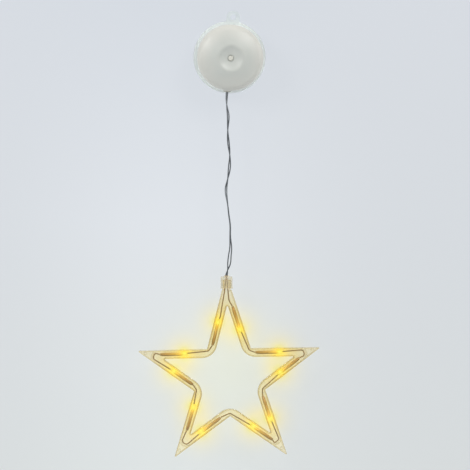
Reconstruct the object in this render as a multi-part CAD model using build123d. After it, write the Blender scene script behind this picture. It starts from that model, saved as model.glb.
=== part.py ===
from build123d import *
import os
from math import asin, atan2, cos, degrees, hypot, radians, sin, sqrt, tan

# A battery-lit star that hangs on a window. A translucent suction cup holds a round battery unit,
# and a loosely twisted pair of thin wires carries a hollow clear star with ten small lights in its
# limbs.
#
# Millimetres. The origin is the middle of the cup's lip, on the glass. +Y goes into the glass and +Z
# is up, so the front is seen looking along +Y. The unit and the star are drawn face on and then
# stood up: x to the right, y up and z away from the glass, towards the viewer.

# Angles, in degrees
unit_turn = 5.3  # the unit is stuck on turned a little clockwise
star_turn = 1.0  # the star hangs turned a little anticlockwise
twist_angle = 15.0  # turn that frees the bayonet
quarter_turn = 90.0
full_turn = 360.0

# Clearances
overrun = 1.0  # how far a cutting tool runs past the face it opens
running_gap = 0.3  # between pieces that move past each other
seat_gap = 0.1  # between pieces that are put together and stay

# Suction cup: a lip pressed on the glass, a boss, a stud with a head, and a pull tab with a hole
lip_radius = 36.0
lip_land = 5.0
lip_edge = 1.1
lip_round = 0.4
bowl_depth = 2.4
bowl_flat_radius = 6.0
cup_waist = 2.9
cup_boss_radius = 9.0
cup_boss_rise = 6.0
cup_stand = 8.6
stud_neck_radius = 4.0
stud_head_radius = 5.6
stud_head_height = 2.0
stud_head_round = 0.7
tab_width = 13.0
tab_length = 10.1
tab_corner = 5.2
tab_lift = 0.4
tab_thickness = 1.6
tab_hole_radius = 3.0
tab_hole_inset = 6.0

# Back cover: a disc with a spigot ring, bayonet lugs and a keyhole for the cup's stud
cover_plate = 1.8
cover_edge_round = 0.6
spigot_height = 3.0
spigot_wall = 1.6
lug_count = 3
lug_sweep = 14.0
lug_reach = 0.8
lug_height = 1.3
keyhole_slide = 9.5

# Front housing: a domed shell with a finger dimple and the push button in the middle. Its radius
# follows from the cells in their tray.
housing_wall = 1.6
tray_to_wall = 1.43
dimple_radius = 12.5
dimple_depth = 3.2
dimple_rim_round = 5.0
shoulder_inset = 5.5
shoulder_drop = 4.7
shoulder_rise = 8.3
button_moat_radius = 3.5
button_moat_depth = 0.5

# Cells: three AAA side by side
cell_count = 3
cell_radius = 5.25
cell_length = 44.5
cell_nub_radius = 2.6
cell_nub_height = 1.0
cell_edge_round = 0.5
cell_gap = 0.3
cell_to_stud = 0.5

# Contacts at the cells' ends
contact_plate = 0.4
contact_width = 7.6
spring_length = 3.5
spring_base_radius = 3.4
spring_tip_radius = 2.2
spring_bore_radius = 1.6

# Tray that carries the cells and the circuit board
tray_wall = 1.2
tray_floor = 1.2
tray_corner = 2.8
tray_ear_inset = 8.9
tray_ear_radius = 3.8
cradle_rib_height = 2.4
cradle_rib_top = 0.8
cradle_rib_foot = 2.6
peg_radius = 0.9
peg_height = 2.0
peg_side_inset = 2.5
peg_end_inset = 2.6

# Screws that hold the tray to the housing's bosses
boss_radius = 2.8
screw_shank_radius = 0.95
screw_shank_length = 5.0
screw_head_radius = 2.0
screw_head_height = 1.3
screw_head_round = 0.5
screw_slot_width = 0.5
screw_slot_depth = 0.6

# Circuit board and what is on it
board_width = 26.0
board_height = 16.0
board_thickness = 1.2
board_corner = 1.2
switch_width = 7.0
switch_height = 2.7
switch_base = 0.2
plunger_radius = 1.2
plunger_length = 2.5
chip_length = 5.0
chip_width = 4.0
chip_height = 1.5
chip_place_shares = (0.325, 0.14)
resistor_length = 3.2
resistor_width = 1.6
resistor_height = 0.8
resistor_place_shares = (-0.315, 0.19)

# Push button
button_radius = 2.5
button_flange_radius = 3.8
button_flange = 0.8
button_proud = 0.7
button_crown_round = 0.6
button_travel = 1.2
press_gap = 0.2

# Cord gland in the housing's wall and the knot that the wires hang from
gland_to_spigot = 0.4
knot_inset = 1.4
knot_radius = 1.9
knot_gap = 0.15
gland_throat_radius = 1.75
gland_mouth_radius = 3.1
gland_neck_radius = 3.1
gland_flange_radius = 4.2
gland_flange = 1.2
gland_inner_gap = 0.35

# Wires
wire_radius = 0.6
feed_wire_radius = 0.5
feed_spread = 1.6
feed_inset = 1.6
feed_lift = 1.5
feed_to_tray = 1.85
feed_bend = 1.2
feed_gap_from_knot = 0.35

# Star: middle, outline and shell
star_x = -0.9
star_z = -321.0
star_tip_radius = 96.4
star_corner_radius = 37.3
star_arms = 5
tip_round = 0.7
limb_width = 8.6
window_corner_round = 15.0
window_tip_round = 0.7
star_wall = 1.0
star_back_plate = 1.2
star_edge_round = 0.6
channel_tip_round = 5.8
tip_peg_inset = 8.8
tip_peg_radius = 1.3
tip_peg_height = 3.0

# Neck in place of the star's top tip, and the cap over it. Rises and drops are from the tip.
neck_x = -1.2
neck_rise = 3.1
neck_width = 7.7
left_shoulder_step = 0.75
left_shoulder_drop = 6.8
right_shoulder_step = 1.0
right_shoulder_drop = 7.4
cap_drop = 5.8
cap_rise = 6.1
cap_side_wall = 1.85
cap_wall = 1.3
cap_corner = 2.6
cap_edge_round = 0.6
cap_peak_radius = 3.4
cap_peak_top_radius = 2.3
cap_peak_height = 1.0
lead_spacing = 1.4

# Lights: each a lens with its leads in a sleeve behind it
light_radius = 1.5
light_length = 6.4
light_flange_radius = 1.6
light_flange = 1.0
light_to_front = 0.4
light_to_string = 0.4
string_to_back = 0.6
sleeve_width = 3.2
sleeve_to_shell = 0.3
sleeve_length = 21.0
sleeve_gap = 0.4

# How far along its limb each light starts, going round from the top arm's left limb, as shares of
# the limb's length that the light and its sleeve leave free
light_shares = (0.849, 0.459, 0.893, 0.294, 0.793, 0.504, 0.87, 0.446, 0.892, 0.524)

# How the string wire turns: into the tips, and close round the inner corners
tip_bend_radius = 3.0
tip_turn_to_channel = 0.98
tip_turn_half = 3.1
corner_wire_inset = 2.6
corner_bend_radius = 3.4

# The first and last string wires, as shares of their limb's length and width
first_wire_shares = ((0.02, 0.34), (0.22, 0.45), (0.43, 0.58))
last_wire_shares = ((0.852, 0.66), (0.97, 0.47))
first_bend_radius = 9.0
last_bend_radius = 6.0

# The two lead wires, from the knot down to the cap. They change places at each crossing.
lead_a_route = (
    (-3.73, -18.0, -32.6),
    (-4.45, -18.0, -38.5),
    (-3.00, -19.1, -47.0),
    (-1.30, -18.0, -58.0),
    (-2.20, -17.0, -72.5),
    (-2.45, -18.0, -89.9),
    (-0.20, -19.0, -100.1),
    (0.65, -18.0, -109.0),
    (-2.10, -17.0, -121.5),
    (-4.90, -18.0, -134.0),
    (-2.60, -19.0, -146.2),
    (-0.45, -18.0, -156.2),
    (0.25, -17.0, -167.0),
    (-0.75, -18.0, -177.0),
    (0.55, -19.0, -186.5),
    (1.35, -18.0, -198.0),
    (-2.30, -16.9, -207.0),
    (-4.60, -18.0, -213.5),
    (-4.61, -18.0, -217.50),
)
lead_b_route = (
    (-2.33, -18.0, -32.6),
    (-2.75, -18.0, -38.5),
    (-3.00, -16.9, -47.0),
    (-3.40, -18.0, -58.0),
    (-2.20, -19.0, -72.5),
    (-0.35, -18.0, -89.9),
    (-0.20, -17.0, -100.1),
    (-1.75, -18.0, -109.0),
    (-2.10, -19.0, -121.5),
    (-2.80, -18.0, -134.0),
    (-2.60, -17.0, -146.2),
    (-2.35, -18.0, -156.2),
    (0.25, -19.0, -167.0),
    (1.35, -18.0, -177.0),
    (0.55, -17.0, -186.5),
    (-1.20, -18.0, -198.0),
    (-2.30, -19.1, -207.0),
    (-3.20, -18.0, -213.5),
    (-3.21, -18.0, -217.50),
)
bend_share = 0.45

# Sizes across the unit that follow from the sizes above
cell_pitch = 2 * cell_radius + cell_gap
cell_row_half = cell_count * cell_pitch / 2
cell_space_half = (cell_length + spring_length + 2 * contact_plate + seat_gap) / 2
tray_half_width = cell_row_half + seat_gap + tray_wall
tray_half_height = cell_space_half + tray_wall
tray_corner_x = tray_half_width - tray_corner
tray_corner_y = tray_half_height - tray_corner
inner_radius = hypot(tray_corner_x, tray_corner_y) + tray_corner + tray_to_wall
housing_radius = inner_radius + housing_wall
spigot_radius = inner_radius - running_gap
tray_ear_reach = inner_radius - tray_ear_inset
knot_reach = housing_radius - knot_inset
feed_drop = tray_half_height + feed_to_tray
feed_start_y = feed_inset - board_height / 2
peg_x = board_width / 2 - peg_side_inset
peg_y = peg_end_inset - board_height / 2
tab_reach = lip_radius + tab_length
tab_hole_reach = tab_reach - tab_hole_inset

# Heights above the glass that follow from the sizes above
cover_front = cup_stand + cover_plate
spigot_top = cover_front + spigot_height
housing_back = cover_front + seat_gap
exit_depth = spigot_top + gland_to_spigot + gland_flange_radius
cell_height = cover_front + stud_head_height + cell_to_stud + cell_radius
tray_back = spigot_top + running_gap
tray_floor_back = cell_height + cell_radius + running_gap
tray_front = tray_floor_back + tray_floor
board_front = tray_front + board_thickness
switch_front = board_front + switch_height
button_back = switch_front + press_gap + button_travel
ceiling = button_back + button_flange + seat_gap
dimple_floor = ceiling + housing_wall
crown_height = dimple_floor + dimple_depth
lug_back = cover_front + (spigot_height - lug_height) / 2

# The star's depth is the stack of its back, the string wire, a light and its front, with their
# clearances. Its rises are from the middle of that depth.
string_space = string_to_back + 2 * wire_radius + light_to_string
light_space = 2 * light_flange_radius + light_to_front
star_depth = star_back_plate + string_space + light_space + star_wall
shell_front = star_depth / 2
shell_back = star_back_plate - star_depth / 2
hollow_front = shell_front - star_wall
string_rise = shell_back + string_to_back + wire_radius
light_rise = hollow_front - light_to_front - light_flange_radius
sleeve_rise = (hollow_front + shell_back) / 2
sleeve_depth = hollow_front - shell_back - 2 * sleeve_to_shell
star_mid_depth = exit_depth - string_rise

# Sizes across the star that follow from the sizes above
arm_angle = full_turn / star_arms
tip_peg_reach = star_tip_radius - tip_peg_inset
corner_x = star_corner_radius * sin(radians(arm_angle / 2))
corner_y = star_corner_radius * cos(radians(arm_angle / 2))
tip_slope = sin(atan2(corner_x, star_tip_radius - corner_y))
channel_end = star_tip_radius - (star_wall + channel_tip_round) / tip_slope + channel_tip_round
tip_turn_reach = channel_end - wire_radius - tip_turn_to_channel
neck_top = star_tip_radius + neck_rise
left_shoulder_x = neck_x - neck_width / 2 - left_shoulder_step
right_shoulder_x = neck_x + neck_width / 2 + right_shoulder_step
left_shoulder = (left_shoulder_x, star_tip_radius - left_shoulder_drop)
right_shoulder = (right_shoulder_x, star_tip_radius - right_shoulder_drop)
cap_bottom = star_tip_radius - cap_drop
cap_top = star_tip_radius + cap_rise
cap_width = neck_width + 2 * (seat_gap + cap_side_wall)
cap_depth = star_depth + 2 * (seat_gap + cap_wall)

# The unit and the star are stood up and put in their places
unit_place = Rot(quarter_turn, 0, 0) * Rot(0, 0, -unit_turn)
star_place = Pos(star_x, -star_mid_depth, star_z) * Rot(quarter_turn, 0, 0) * Rot(0, 0, star_turn)


def layer(outline, low, high):
    """An outline drawn face on, made solid between two heights."""
    return extrude(Pos(0, 0, low) * outline, high - low)


def turned(outline):
    """A half section in radius and height, turned about Z."""
    return revolve(Plane.XZ * outline, Axis.Z, full_turn)


def sector(inner, outer, low, high, start, sweep):
    """A piece of a ring, from one angle over a sweep."""
    section = Pos((inner + outer) / 2, (low + high) / 2) * Rectangle(outer - inner, high - low)
    return Rot(0, 0, start) * revolve(Plane.XZ * section, Axis.Z, sweep)


def bends(points, largest=None):
    """The radius of each bend of a wire: as large as its two runs allow, or the largest wanted."""
    points = [Vector(*point) for point in points]
    radii = []
    for before, here, after in zip(points, points[1:], points[2:]):
        half_turn = radians((here - before).get_angle(after - here)) / 2
        shorter = min((here - before).length, (after - here).length)
        room = bend_share * shorter / tan(half_turn)
        radii.append(min(room, largest or room))
    return radii


def tube(points, radius, largest_bend=None):
    """A wire along straight runs joined by tangent arcs."""
    path = FilletPolyline(*points, radius=bends(points, largest_bend))
    return sweep(Plane(origin=path @ 0, z_dir=path % 0) * Circle(radius), path=path)


def mirrored(build):
    """What is built for the left side and for the right side."""
    return [build(-1), build(1)]


# Suction cup and back cover


def suction_cup():
    """A shallow cup pressed flat, with a boss and a headed stud in front and a pull tab at the top."""
    land_radius = lip_radius - lip_land
    section = make_face(
        [
            Polyline((0, bowl_depth), (bowl_flat_radius, bowl_depth)),
            Line((bowl_flat_radius, bowl_depth), (land_radius, 0)),
            Line((land_radius, 0), (lip_radius - lip_round, 0)),
            Line((lip_radius - lip_round, 0), (lip_radius, lip_round)),
            Line((lip_radius, lip_round), (lip_radius - lip_round, lip_edge)),
            ThreePointArc(
                (lip_radius - lip_round, lip_edge),
                ((lip_radius + cup_boss_radius) / 2, cup_waist),
                (cup_boss_radius, cup_boss_rise),
            ),
            Line((cup_boss_radius, cup_boss_rise), (cup_boss_radius, cup_stand)),
            Line((cup_boss_radius, cup_stand), (0, cup_stand)),
            Line((0, cup_stand), (0, bowl_depth)),
        ]
    )
    neck = layer(Circle(stud_neck_radius), cup_stand, cover_front + seat_gap)
    head_back = cover_front + seat_gap
    head = layer(Circle(stud_head_radius), head_back, head_back + stud_head_height)
    head = fillet(head.edges().sort_by(Axis.Z)[-1], stud_head_round)
    root = land_radius
    tab_outline = Pos(0, (root + tab_reach) / 2) * Rectangle(tab_width, tab_reach - root)
    far_corners = tab_outline.vertices().group_by(Axis.Y)[-1]
    tab_outline = fillet(far_corners, tab_corner)
    tab_outline -= Circle(land_radius + lip_land / 2)
    tab_outline -= Pos(0, tab_hole_reach) * Circle(tab_hole_radius)
    tab = layer(tab_outline, tab_lift, tab_lift + tab_thickness)
    return turned(section) + neck + head + tab


def back_cover():
    """The disc that closes the unit. The stud's head goes in at the wide end of the keyhole."""
    plate = layer(Circle(housing_radius), cup_stand, cover_front)
    plate = fillet(plate.edges().sort_by(Axis.Z)[0], cover_edge_round)
    ring = layer(
        Circle(spigot_radius) - Circle(spigot_radius - spigot_wall), cover_front, spigot_top
    )
    cover = plate + ring
    for index in range(lug_count):
        start = index * full_turn / lug_count
        cover += sector(
            spigot_radius - spigot_wall / 2,
            spigot_radius + lug_reach,
            lug_back,
            lug_back + lug_height,
            start,
            lug_sweep,
        )
    neck_hole = stud_neck_radius + seat_gap
    head_hole = stud_head_radius + running_gap
    slot = Pos(0, keyhole_slide / 2) * Rectangle(2 * neck_hole, keyhole_slide)
    keyhole = Circle(neck_hole) + slot + Pos(0, keyhole_slide) * Circle(head_hole)
    return cover - layer(keyhole, cup_stand - overrun, cover_front + overrun)


# Front housing and the button


def dome():
    """The housing's outer form, solid: side, round shoulder, flat crown and finger dimple."""
    shoulder_start = (housing_radius, crown_height - shoulder_drop - shoulder_rise)
    shoulder_end = (housing_radius - shoulder_inset, crown_height - shoulder_drop)
    rim = (dimple_radius, crown_height)
    ball = (dimple_radius**2 + dimple_depth**2) / (2 * dimple_depth)
    half_angle = asin(dimple_radius / ball) / 2
    dimple_middle = (ball * sin(half_angle), dimple_floor + ball * (1 - cos(half_angle)))
    shoulder = TangentArc(shoulder_start, shoulder_end, tangent=(0, 1))
    crown = TangentArc(shoulder_end, rim, tangent=shoulder % 1)
    section = make_face(
        [
            Line((0, housing_back), (housing_radius, housing_back)),
            Line((housing_radius, housing_back), shoulder_start),
            shoulder,
            crown,
            ThreePointArc(rim, dimple_middle, (0, dimple_floor)),
            Line((0, dimple_floor), (0, housing_back)),
        ]
    )
    return turned(section)


def bayonet_track(index):
    """An entry at the back edge and a turn of the track, for one lug and its whole travel."""
    start = index * full_turn / lug_count
    slack = degrees(running_gap / spigot_radius)
    inner = inner_radius - overrun
    outer = inner_radius + lug_reach
    track = sector(
        inner,
        outer,
        lug_back - running_gap,
        lug_back + lug_height + running_gap,
        start - twist_angle - slack,
        lug_sweep + twist_angle + 2 * slack,
    )
    entry = sector(
        inner,
        outer,
        housing_back - overrun,
        lug_back + lug_height + running_gap,
        start - twist_angle - slack,
        lug_sweep + 2 * slack,
    )
    return track + entry


def front_housing():
    """The domed shell, with screw bosses, bayonet tracks, the button's hole and the cord's hole."""
    body = dome()
    shell = offset(body, amount=-housing_wall, openings=body.faces().sort_by(Axis.Z)[0])
    rim_edge = shell.edges().filter_by(GeomType.CIRCLE).sort_by(Axis.Z)[-1]
    shell = fillet(rim_edge, dimple_rim_round)
    for side in (-1, 1):
        boss = layer(Pos(side * tray_ear_reach, 0) * Circle(boss_radius), tray_front, crown_height)
        shell += boss & body
    for side in (-1, 1):
        pilot = Pos(side * tray_ear_reach, 0) * Circle(screw_shank_radius + seat_gap)
        shell -= layer(pilot, tray_front - overrun, tray_front + screw_shank_length + overrun)
    for index in range(lug_count):
        shell -= bayonet_track(index)
    shell -= layer(Circle(button_radius + seat_gap), ceiling - overrun, crown_height)
    shell -= layer(Circle(button_moat_radius), dimple_floor - button_moat_depth, crown_height)
    gland_hole = Pos(0, -housing_radius, exit_depth) * Rot(quarter_turn, 0, 0)
    shell -= gland_hole * Cylinder(gland_neck_radius + seat_gap, 2 * (housing_wall + overrun))
    return shell


def push_button():
    """A round cap on a flange that is trapped behind the dimple's floor."""
    top = dimple_floor + button_proud
    stem = layer(Circle(button_radius), button_back, top)
    stem = fillet(stem.edges().sort_by(Axis.Z)[-1], button_crown_round)
    return stem + layer(Circle(button_flange_radius), button_back, button_back + button_flange)


def switch_plunger():
    """The switch's own plunger, that the button pushes."""
    return layer(Circle(plunger_radius), button_back - plunger_length, button_back)


# Tray, cells and contacts


def tray_box(half_width, half_height, corner):
    return RectangleRounded(2 * half_width, 2 * half_height, corner)


def cell_x(index):
    return (index - (cell_count - 1) / 2) * cell_pitch


def battery_tray():
    """A box open at the back, with ribs between the cells, two screw ears and pegs for the board."""
    outer = tray_box(tray_half_width, tray_half_height, tray_corner)
    inner = tray_box(cell_row_half + seat_gap, cell_space_half, tray_corner - tray_wall)
    ear_bar = Rectangle(2 * tray_ear_reach, 2 * tray_ear_radius)
    ears = ear_bar
    for side in (-1, 1):
        ears += Pos(side * tray_ear_reach, 0) * Circle(tray_ear_radius)
    floor_outline = outer + ears
    for side in (-1, 1):
        floor_outline -= Pos(side * tray_ear_reach, 0) * Circle(screw_shank_radius + seat_gap)
    tray = layer(floor_outline, tray_floor_back, tray_front)
    tray += layer(outer - inner, tray_back, tray_floor_back)
    rib = make_face(
        Polyline(
            (-cradle_rib_foot / 2, tray_floor_back),
            (cradle_rib_foot / 2, tray_floor_back),
            (cradle_rib_top / 2, tray_floor_back - cradle_rib_height),
            (-cradle_rib_top / 2, tray_floor_back - cradle_rib_height),
            close=True,
        )
    )
    rib_length = 2 * (cell_space_half - spring_length - contact_plate - running_gap)
    for index in range(cell_count - 1):
        middle = (cell_x(index) + cell_x(index + 1)) / 2
        bar = extrude(Plane.XZ * rib, rib_length / 2, both=True)
        tray += Pos(middle, 0, 0) * bar
    for side in (-1, 1):
        peg = Pos(side * peg_x, peg_y) * Circle(peg_radius)
        tray += layer(peg, tray_front, tray_front + peg_height)
    return tray


def battery(index):
    """One AAA cell. Neighbours point opposite ways, and the outer two point up."""
    nub_base = cell_length - cell_nub_height
    can = layer(Circle(cell_radius), 0, nub_base)
    can = fillet(can.edges(), cell_edge_round)
    nub = layer(Circle(cell_nub_radius), nub_base, cell_length)
    way = 1 if index % 2 == 0 else -1
    tip = way * (cell_space_half - contact_plate - seat_gap / 2)
    stand = Pos(cell_x(index), tip - way * cell_length, cell_height) * Rot(-way * quarter_turn, 0, 0)
    return stand * (can + nub)


def contact(cells, end, spring_cell=None):
    """A plate across some cells, at their top end (1) or their bottom end (-1). A cell that turns
    its flat end to the plate has a spring there."""
    left = cell_x(min(cells)) - contact_width / 2
    right = cell_x(max(cells)) + contact_width / 2
    face = end * cell_space_half
    middle = Pos((left + right) / 2, face - end * contact_plate / 2, cell_height)
    plate = middle * Box(right - left, contact_plate, contact_width)
    if spring_cell is None:
        return plate
    section = make_face(
        Polyline(
            (spring_bore_radius, 0),
            (spring_base_radius, 0),
            (spring_tip_radius, spring_length),
            (spring_bore_radius, spring_length),
            close=True,
        )
    )
    foot = Pos(cell_x(spring_cell), face - end * contact_plate, cell_height)
    return plate + foot * Rot(end * quarter_turn, 0, 0) * turned(section)


def tray_screws():
    """Two screws through the tray's ears into the housing's bosses."""
    head_top = tray_floor_back - screw_head_height
    shank = layer(Circle(screw_shank_radius), tray_floor_back, tray_front + screw_shank_length)
    head = layer(Circle(screw_head_radius), head_top, tray_floor_back)
    head = fillet(head.edges().sort_by(Axis.Z)[0], screw_head_round)
    slot = Rectangle(2 * screw_head_radius, screw_slot_width)
    slot += Rectangle(screw_slot_width, 2 * screw_head_radius)
    head -= layer(slot, head_top - overrun, head_top + screw_slot_depth)
    screw = shank + head
    return Compound(mirrored(lambda side: Pos(side * tray_ear_reach, 0, 0) * screw))


# Circuit board


def circuit_board():
    outline = RectangleRounded(board_width, board_height, board_corner)
    for side in (-1, 1):
        outline -= Pos(side * peg_x, peg_y) * Circle(peg_radius + seat_gap)
    return layer(outline, tray_front, board_front)


def push_switch():
    """The switch's body, bored for its plunger."""
    body = layer(Rectangle(switch_width, switch_width), board_front, switch_front)
    bore = Circle(plunger_radius + seat_gap)
    return body - layer(bore, board_front + switch_base, switch_front + overrun)


def component(length, width, height, place_shares):
    """A block on the board. Its place is in shares of the board's width and height."""
    x_share, y_share = place_shares
    place = Pos(x_share * board_width, y_share * board_height)
    return layer(place * Rectangle(length, width), board_front, board_front + height)


def feed_wire(side):
    """From the board, over the end of the tray and down to the knot in the gland."""
    run_height = board_front + feed_lift
    end_x = side * lead_spacing / 2
    knot_face = knot_reach - sqrt((knot_radius + feed_gap_from_knot) ** 2 - end_x**2)
    points = (
        (side * feed_spread, feed_start_y, board_front),
        (side * feed_spread, feed_start_y, run_height),
        (side * feed_spread, -feed_drop, run_height),
        (end_x, -feed_drop, exit_depth),
        (end_x, -knot_face, exit_depth),
    )
    return tube(points, feed_wire_radius, feed_bend)


# Cord gland and knot


def cord_gland():
    """A soft bush in the housing's wall, with a round seat for the knot and a flared mouth."""
    wall_out = housing_radius - knot_reach
    wall_in = inner_radius - knot_reach
    seat = knot_radius + knot_gap
    throat = sqrt(seat**2 - gland_throat_radius**2)
    flange_face = wall_in - gland_inner_gap
    back = flange_face - gland_flange
    front = wall_out + gland_flange
    seat_middle = (seat + gland_throat_radius) / 2
    section = make_face(
        [
            Line((seat, back), (gland_flange_radius, back)),
            Line((gland_flange_radius, back), (gland_flange_radius, flange_face)),
            Line((gland_flange_radius, flange_face), (gland_neck_radius, flange_face)),
            Line((gland_neck_radius, flange_face), (gland_neck_radius, wall_out)),
            Line((gland_neck_radius, wall_out), (gland_flange_radius, wall_out)),
            Line((gland_flange_radius, wall_out), (gland_mouth_radius, front)),
            Line((gland_mouth_radius, front), (gland_throat_radius, throat)),
            ThreePointArc(
                (gland_throat_radius, throat),
                (seat_middle, sqrt(seat**2 - seat_middle**2)),
                (seat, 0),
            ),
            Line((seat, 0), (seat, back)),
        ]
    )
    return Pos(0, -knot_reach, exit_depth) * Rot(quarter_turn, 0, 0) * turned(section)


def wire_knot():
    """The wires' knot, as the ball that it fills in the gland."""
    return Pos(0, -knot_reach, exit_depth) * Sphere(knot_radius)


# Lead wires


def lead_wire(name, route):
    """One wire of the twisted pair. Each bend is as large as its two runs allow."""
    radii = bends(route)
    length = FilletPolyline(*route, radius=radii).length
    print(name, "length", round(length, 1), "smallest bend radius", round(min(radii), 1))
    return tube(route, wire_radius)


# Star


def ray(radius, angle):
    """A point of the star, at an angle clockwise from the top."""
    return Vector(radius * sin(radians(angle)), radius * cos(radians(angle)), 0)


def star_points():
    """The outline's points, anticlockwise from the neck's left shoulder to its right shoulder."""
    points = [Vector(*left_shoulder)]
    for arm in range(star_arms):
        points.append(ray(star_corner_radius, -(arm + 1 / 2) * arm_angle))
        if arm < star_arms - 1:
            points.append(ray(star_tip_radius, -(arm + 1) * arm_angle))
    points.append(Vector(*right_shoulder))
    return points


def near(sketch, reach):
    return [corner for corner in sketch.vertices() if hypot(corner.X, corner.Y) < reach]


def sharp_tips(sketch):
    """The corners in the four sharp tips, leaving out the neck at the top."""
    tip_zone = (star_corner_radius + star_tip_radius) / 2
    far = [corner for corner in sketch.vertices() if hypot(corner.X, corner.Y) > tip_zone]
    return [corner for corner in far if corner.Y < tip_zone]


def star_outline():
    corners = [(point.X, point.Y) for point in star_points()]
    body = make_face(Polyline(*corners, close=True))
    shoulder_drop_from_tip = max(left_shoulder_drop, right_shoulder_drop)
    neck_bottom = star_tip_radius - shoulder_drop_from_tip - limb_width / 2
    neck = Pos(neck_x, (neck_bottom + neck_top) / 2) * Rectangle(neck_width, neck_top - neck_bottom)
    return body + neck


def star_window(outline):
    """The opening inside the limbs, round at its five inner corners."""
    window = offset(outline, -limb_width, kind=Kind.INTERSECTION)
    window = fillet(near(window, star_corner_radius), window_corner_round)
    outer_corners = [v for v in window.vertices() if hypot(v.X, v.Y) > star_corner_radius]
    return fillet(outer_corners, window_tip_round)


def lit_channel(outline, window):
    """The hollow that the lights lie in. It ends round in each tip and is open at the neck."""
    inside = offset(outline, -star_wall, kind=Kind.INTERSECTION)
    rounded = fillet(sharp_tips(inside), channel_tip_round)
    return inside, rounded, rounded - offset(window, star_wall)


def star_front_shell():
    """The clear front: limbs with thin walls, a hollow in each tip, and a round front edge."""
    outline = star_outline()
    window = star_window(outline)
    inside, rounded, channel = lit_channel(outline, window)
    shell = layer(fillet(sharp_tips(outline), tip_round) - window, shell_back, shell_front)
    shell = fillet(shell.edges().group_by(Axis.Z)[-1], star_edge_round)
    shell -= layer(channel, shell_back - overrun, hollow_front)
    tip_hollows = inside - offset(rounded, star_wall)
    shell -= layer(tip_hollows, shell_back - overrun, hollow_front)
    port_width = lead_spacing + 2 * (wire_radius + seat_gap)
    port_front = string_rise + wire_radius + seat_gap
    port = Pos(neck_x, neck_top) * Rectangle(port_width, 2 * (star_wall + overrun))
    return shell - layer(port, shell_back - overrun, port_front)


def star_back_cover():
    """The flat back of the star, with a peg in the hollow of each sharp tip."""
    outline = star_outline()
    window = star_window(outline)
    plate = layer(fillet(sharp_tips(outline), tip_round) - window, -shell_front, shell_back)
    for arm in range(1, star_arms):
        place = ray(tip_peg_reach, -arm * arm_angle)
        peg = Pos(place.X, place.Y) * Circle(tip_peg_radius)
        plate += layer(peg, shell_back, shell_back + tip_peg_height)
    return plate


def hanger_cap():
    """A soft cap over the neck, with a low peak where the wires go in."""
    block = RectangleRounded(cap_width, cap_depth, cap_corner)
    body = layer(block, cap_bottom, cap_top)
    body = fillet(body.edges().group_by(Axis.Z)[-1], cap_edge_round)
    peak = Pos(0, 0, cap_top + cap_peak_height / 2) * Cone(
        cap_peak_radius, cap_peak_top_radius, cap_peak_height
    )
    pocket = Rectangle(neck_width + 2 * seat_gap, star_depth + 2 * seat_gap)
    body = body + peak - layer(pocket, cap_bottom - overrun, neck_top + seat_gap)
    slot = SlotOverall(lead_spacing + 2 * (wire_radius + seat_gap), 2 * (wire_radius + seat_gap))
    body -= layer(Pos(0, -string_rise) * slot, neck_top, cap_top + cap_peak_height + overrun)
    # The cap is drawn standing, so it is laid back into the star's face-on frame.
    return Pos(neck_x, 0, 0) * Rot(-quarter_turn, 0, 0) * body


class Limb:
    """One limb: its outer edge, the way along it and the way in across it."""

    def __init__(self, start, end):
        self.start = start
        self.length = (end - start).length
        self.along = (end - start).normalized()
        self.inward = Vector(-self.along.Y, self.along.X, 0)

    def place(self, distance, inset, rise=0):
        flat = self.start + self.along * distance + self.inward * inset
        return Vector(flat.X, flat.Y, rise)

    def section_plane(self, distance, rise):
        """A plane across the limb, with its x direction towards the viewer."""
        origin = self.place(distance, limb_width / 2, rise)
        return Plane(origin=origin, x_dir=(0, 0, 1), z_dir=self.along)


def limbs():
    points = star_points()
    return [Limb(start, end) for start, end in zip(points, points[1:])]


def sleeve_start(limb, share):
    return share * (limb.length - light_length - sleeve_length) + light_length


def sleeve_end(limb, share):
    return sleeve_start(limb, share) + sleeve_length


def light(limb, share):
    """A small round-nosed light, its nose pointing back along the string."""
    body_length = light_length - light_radius
    section = make_face(
        [
            Line((0, 0), (light_flange_radius, 0)),
            Line((light_flange_radius, 0), (light_flange_radius, -light_flange)),
            Line((light_flange_radius, -light_flange), (light_radius, -light_flange)),
            Line((light_radius, -light_flange), (light_radius, -body_length)),
            ThreePointArc(
                (light_radius, -body_length),
                (light_radius / sqrt(2), -body_length - light_radius / sqrt(2)),
                (0, -light_length),
            ),
            Line((0, -light_length), (0, 0)),
        ]
    )
    return limb.section_plane(sleeve_start(limb, share), light_rise).location * turned(section)


def light_sleeve(limb, share):
    """The sleeve over a light's leads, wide enough for the wire that goes by behind the light."""
    section = SlotOverall(sleeve_depth, sleeve_width)
    start_plane = limb.section_plane(sleeve_start(limb, share), sleeve_rise)
    return extrude(start_plane * section, sleeve_length)


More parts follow.
